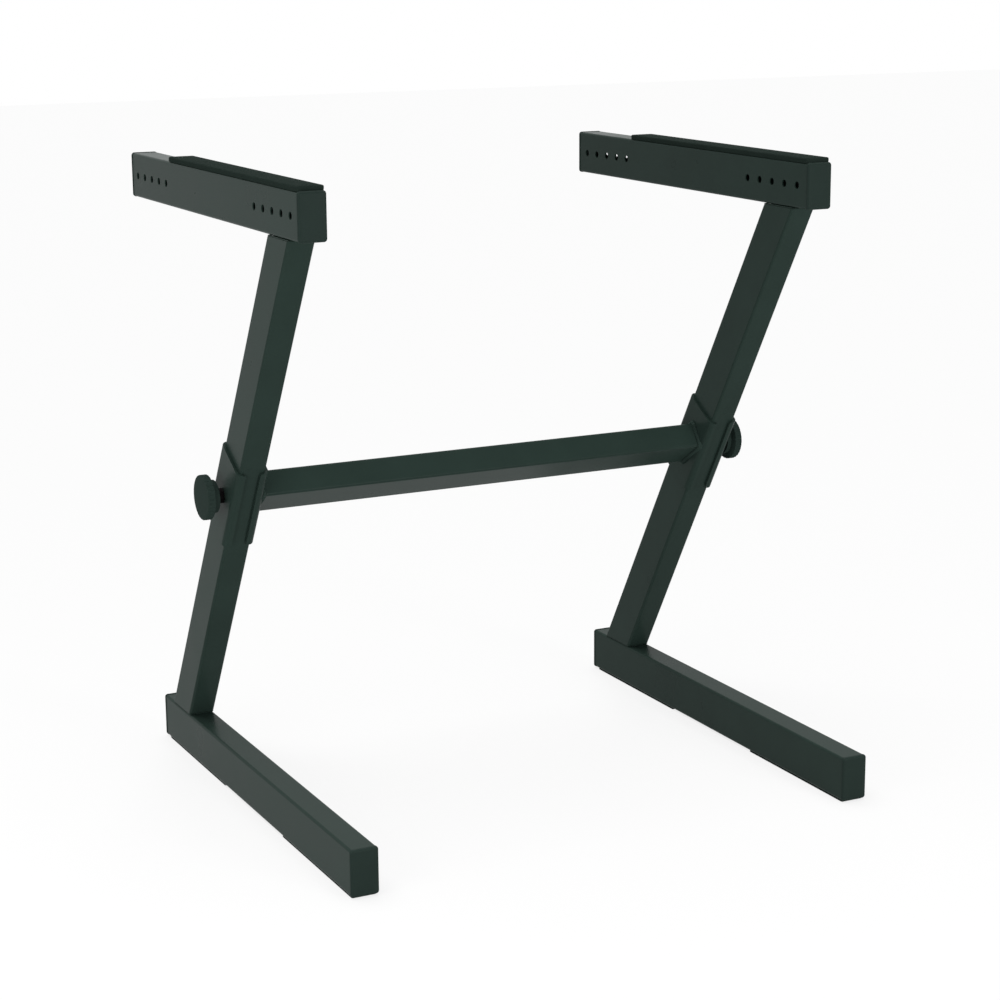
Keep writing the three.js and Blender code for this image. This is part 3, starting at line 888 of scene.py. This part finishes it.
class BuildClamps(bpy.types.Operator):
    """Bushes, clamp screws, pressure pads and knobs"""

    bl_idname = "keyboard_stand.clamps"
    bl_label = "Clamps"

    def execute(self, context):
        sizes = context.scene.stand_sizes
        for side in SIDES:
            self.build_bush(side, sizes)
            self.build_screw(side, sizes)
            self.build_pressure_pad(side, sizes)
            self.build_knob(side, sizes)
        return {"FINISHED"}

    def carried(self, grids, side):
        """Stands local Z outwards along the clamp screw, with zero on the sleeve's outer face."""
        sign = outwards(side)
        return placed(grids, screw_start(side), (0, sign, 0), (0, 0, 1), (sign, 0, 0))

    def span(self, node, side):
        """How far a node's two ends lie outside the sleeve's outer face, and its radius."""
        low, high = box_of(node)
        near, far = sorted((end - screw_start(side)[0]) * outwards(side) for end in (low[0], high[0]))
        return near, far, (high[2] - low[2]) / 2

    def build_bush(self, side, sizes):
        """Turned bush: a ring with a chamfer round its outer end, and one half as large in its bore."""
        node = f"{side}_clamp_bush"
        near, far, radius = self.span(node, side)
        bore = self.span(f"{side}_clamp_screw", side)[2] + sizes.fit_gap
        chamfer = sizes.bush_chamfer
        profile = [
            (bore, near),
            (radius, near),
            (radius, far - chamfer),
            (radius - chamfer, far),
            (bore + chamfer / 2, far),
            (bore, far - chamfer / 2),
            (bore, near),
        ]
        grids = self.carried([turned(profile)], side)
        solid(f"{side}_turned_bush", grids, "crossbar", "black_steel", node)

    def build_screw(self, side, sizes):
        """Threaded bar: the radius falls and rises once per pitch, following the angle, so that the
        crest climbs one pitch each turn."""
        node = f"{side}_clamp_screw"
        near, far, radius = self.span(node, side)
        pitch = sizes.thread_pitch
        depth = pitch * sizes.thread_depth_share
        chamfer = sizes.screw_chamfer
        count = max(2, round((far - near) / pitch * THREAD_STEPS_PER_TURN))
        height = np.linspace(near, far, count + 1)[:, None]
        phase = (height / pitch - FULL_TURN / (2 * np.pi)) % 1
        flank_share = (1 - sizes.thread_crest_share) / 2
        ridge = np.clip((0.5 - np.abs(phase - 0.5)) / flank_share, 0, 1)
        reach = radius - depth * (1 - ridge)
        ends = np.minimum(height - near, far - height)
        reach = np.minimum(reach, radius - depth + np.minimum(ends, chamfer) * depth / chamfer)
        grid = round_loops(reach, height, FULL_TURN)
        grids = self.carried([grid, fan(grid[0]), fan(grid[-1])], side)
        solid(f"{side}_threaded_screw", grids, f"{side}_knob", "black_steel", node)

    def build_pressure_pad(self, side, sizes):
        """Small plastic button with rounded edges at the screw's inner end."""
        node = f"{side}_pressure_pad"
        near, far, radius = self.span(node, side)
        edge = rounding(sizes.button_edge)
        profile = [(radius - short, near + inset) for inset, short in edge]
        profile += [(radius - inset, far - short) for inset, short in edge]
        grid = turned(profile)
        grids = self.carried([grid, fan(grid[0]), fan(grid[-1])], side)
        solid(f"{side}_pressure_button", grids, node, "knob_plastic", node)

    def build_knob(self, side, sizes):
        """Knob: rings round the screw's axis. On the rim the radius dips in as a flattened wave, once
        per flute, the hub is plain, and a cone joins them."""
        node = f"{side}_knob"
        near, far, rim = self.span(node, side)
        hub = sizes.knob_hub / 2
        bore = self.span(f"{side}_clamp_screw", side)[2] + sizes.fit_gap
        hub_end = near + sizes.knob_hub_length
        rim_start = hub_end + sizes.knob_shoulder
        angle = np.linspace(0, 2 * np.pi, sizes.knob_flutes * STEPS_PER_FLUTE + 1)
        wave = ((1 - np.cos(angle * sizes.knob_flutes)) / 2) ** 2

        def ring(radius, depth, height):
            return round_loops(radius - depth * wave, height, angle)

        crown = sizes.knob_crown
        edge = rounding(sizes.knob_edge)
        # Over the rounded edges the flutes fade in with the sine, and out with the cosine
        fade_out, fade_in = sizes.flute_depth * (1 - edge.T / sizes.knob_edge)
        rings = [ring(bore, 0, near + sizes.knob_bore), ring(bore, 0, near)]
        rings += [ring(hub - short, 0, near + inset) for inset, short in edge]
        rings.append(ring(hub, 0, hub_end))
        for (inset, short), depth in zip(edge, fade_in):
            rings.append(ring(rim - short, depth, rim_start + inset))
        for (inset, short), depth in zip(edge, fade_out):
            rings.append(ring(rim - inset, depth, far - crown - short))
        rings += crowned(rings[-1], crown)
        grids = self.carried([np.stack(rings), fan(rings[0])], side)
        solid(f"{side}_fluted_knob", grids, f"{side}_knob", "knob_plastic", node)


# Stage

# The floor: how far it reaches, how pale its paper is to the object, and how much of the paleness that
# the camera sees can be shaded
FLOOR_REACH = 12.0
PAPER_LEVEL = 0.6
SHADOW_LEVEL = 0.2

# Light from all round, and a very wide lamp above, a little to the rear and the left
ROOM_LEVEL = 0.26
OVERHEAD_POWER = 1.9
OVERHEAD_SPREAD = math.radians(60)
OVERHEAD_TURN = (math.radians(-12), math.radians(-4), 0)

# Each softbox: its place, the point it faces, its side in metres and its power in watts
SOFTBOXES = {
    "left_softbox": ((-1.4, -0.7, 0.5), (-0.296, 0, 0.35), 0.9, 6.0),
    "front_softbox": ((0.9, -2.8, 0.6), (0, 0, 0.35), 0.8, 28),
}

# The camera: heading from +Y, tilt up from looking straight down, and roll about its own line of sight
CAMERA_PLACE = (-1.1598, -2.3558, 0.9323)
CAMERA_HEADING = math.radians(-26.438)
CAMERA_TILT = math.radians(76.751)
CAMERA_ROLL = math.radians(-0.419)
CAMERA_LENS_MM = 84.86
CAMERA_SENSOR_MM = 36


def grey(level):
    return (level, level, level, 1)


class BuildStage(bpy.types.Operator):
    """White floor and background, soft lamps and the camera"""

    bl_idname = "keyboard_stand.stage"
    bl_label = "Stage, lamps and camera"

    def execute(self, context):
        self.build_floor()
        self.build_world(context.scene)
        self.add_overhead()
        for name, (place, target, size, power) in SOFTBOXES.items():
            self.add_lamp(name, place, target, size, power)
        self.build_camera(context.scene)
        return {"FINISHED"}

    def shown_apart(self, tree, lighting, shown):
        """Mixes two shaders: one for the rays that look at the background, from the camera, off gloss or
        through glass, and one for all others, which light the object."""
        rays = add_node(tree, "ShaderNodeLightPath").outputs
        looks = rays["Is Camera Ray"]
        for kind in ("Is Glossy Ray", "Is Transmission Ray"):
            either = add_node(tree, "ShaderNodeMath", {"operation": "MAXIMUM"}, {0: looks, 1: rays[kind]})
            looks = either.outputs[0]
        sockets = {0: looks, 1: lighting.outputs[0], 2: shown.outputs[0]}
        return add_node(tree, "ShaderNodeMixShader", links=sockets).outputs[0]

    def build_floor(self):
        """White paper. The background rays see a plain white from which the object's shadow is taken, and
        all others see paper of a fixed paleness, which lights the object from below."""
        corners = FLOOR_REACH * np.array([(-1, -1, 0), (1, -1, 0), (1, 1, 0), (-1, 1, 0)])
        mesh = bpy.data.meshes.new("floor")
        mesh.from_pydata(corners.tolist(), [], [(0, 1, 2, 3)])
        floor = linked_object("floor", mesh)
        material = bpy.data.materials.new("white_paper")
        tree = empty_tree(material)
        paper = add_node(tree, "ShaderNodeBsdfDiffuse", {"Color": grey(PAPER_LEVEL)})
        faint = add_node(tree, "ShaderNodeBsdfDiffuse", {"Color": grey(SHADOW_LEVEL)})
        glow = add_node(tree, "ShaderNodeEmission", {"Color": grey(1), "Strength": 1 - SHADOW_LEVEL})
        shown = add_node(tree, "ShaderNodeAddShader", links={0: faint.outputs[0], 1: glow.outputs[0]})
        surface = self.shown_apart(tree, paper, shown)
        add_node(tree, "ShaderNodeOutputMaterial", links={"Surface": surface})
        mesh.materials.append(material)

    def build_world(self, scene):
        """Plain grey room light, which the background rays see as white."""
        world = bpy.data.worlds.new("white_room")
        scene.world = world
        tree = empty_tree(world)
        room = add_node(tree, "ShaderNodeBackground", {"Color": grey(1), "Strength": ROOM_LEVEL})
        white = add_node(tree, "ShaderNodeBackground", {"Color": grey(1), "Strength": 1.0})
        surface = self.shown_apart(tree, room, white)
        add_node(tree, "ShaderNodeOutputWorld", links={"Surface": surface})

    def add_overhead(self):
        """A very wide, even light from above, as from a ceiling of soft boxes."""
        light = bpy.data.lights.new("overhead", "SUN")
        light.energy = OVERHEAD_POWER
        light.angle = OVERHEAD_SPREAD
        linked_object("overhead", light).rotation_euler = OVERHEAD_TURN

    def add_lamp(self, name, place, target, size, power):
        light = bpy.data.lights.new(name, "AREA")
        light.shape = "SQUARE"
        light.size = size
        light.energy = power
        lamp = linked_object(name, light)
        lamp.location = place
        lamp.rotation_euler = (Vector(target) - Vector(place)).to_track_quat("-Z", "Y").to_euler()
        lamp.visible_camera = False

    def build_camera(self, scene):
        camera = bpy.data.cameras.new("photo_view")
        camera.sensor_width = CAMERA_SENSOR_MM
        camera.lens = CAMERA_LENS_MM
        holder = linked_object("photo_view", camera)
        heading = Matrix.Rotation(CAMERA_HEADING, 4, "Z")
        tilt = Matrix.Rotation(CAMERA_TILT, 4, "X")
        roll = Matrix.Rotation(CAMERA_ROLL, 4, "Z")
        holder.matrix_world = Matrix.Translation(CAMERA_PLACE) @ heading @ tilt @ roll
        scene.camera = holder
        scene.view_settings.view_transform = "Standard"


class KEYBOARD_STAND_PT_panel(bpy.types.Panel):
    """Lists the steps that build the stand"""

    bl_label = "Keyboard Stand"
    bl_idname = "KEYBOARD_STAND_PT_panel"
    bl_space_type = "VIEW_3D"
    bl_region_type = "UI"
    bl_category = "Keyboard Stand"

    def draw(self, context):
        for operator in OPERATORS:
            self.layout.operator(operator.bl_idname)


OPERATORS = (
    BuildTubes,
    BuildColumns,
    BuildPlugs,
    BuildStrips,
    BuildPads,
    BuildSleeves,
    BuildClamps,
    BuildStage,
)
CLASSES = (StandSizes, StandColours, *OPERATORS, KEYBOARD_STAND_PT_panel)


def register():
    for item in CLASSES:
        bpy.utils.register_class(item)
    bpy.types.Scene.stand_sizes = bpy.props.PointerProperty(type=StandSizes)
    bpy.types.Scene.stand_colours = bpy.props.PointerProperty(type=StandColours)


def unregister():
    del bpy.types.Scene.stand_colours
    del bpy.types.Scene.stand_sizes
    for item in reversed(CLASSES):
        bpy.utils.unregister_class(item)


def main():
    register()
    bpy.ops.keyboard_stand.tubes()
    bpy.ops.keyboard_stand.columns()
    bpy.ops.keyboard_stand.plugs()
    bpy.ops.keyboard_stand.strips()
    bpy.ops.keyboard_stand.pads()
    bpy.ops.keyboard_stand.sleeves()
    bpy.ops.keyboard_stand.clamps()
    bpy.ops.keyboard_stand.stage()


if __name__ == "__main__":
    main()
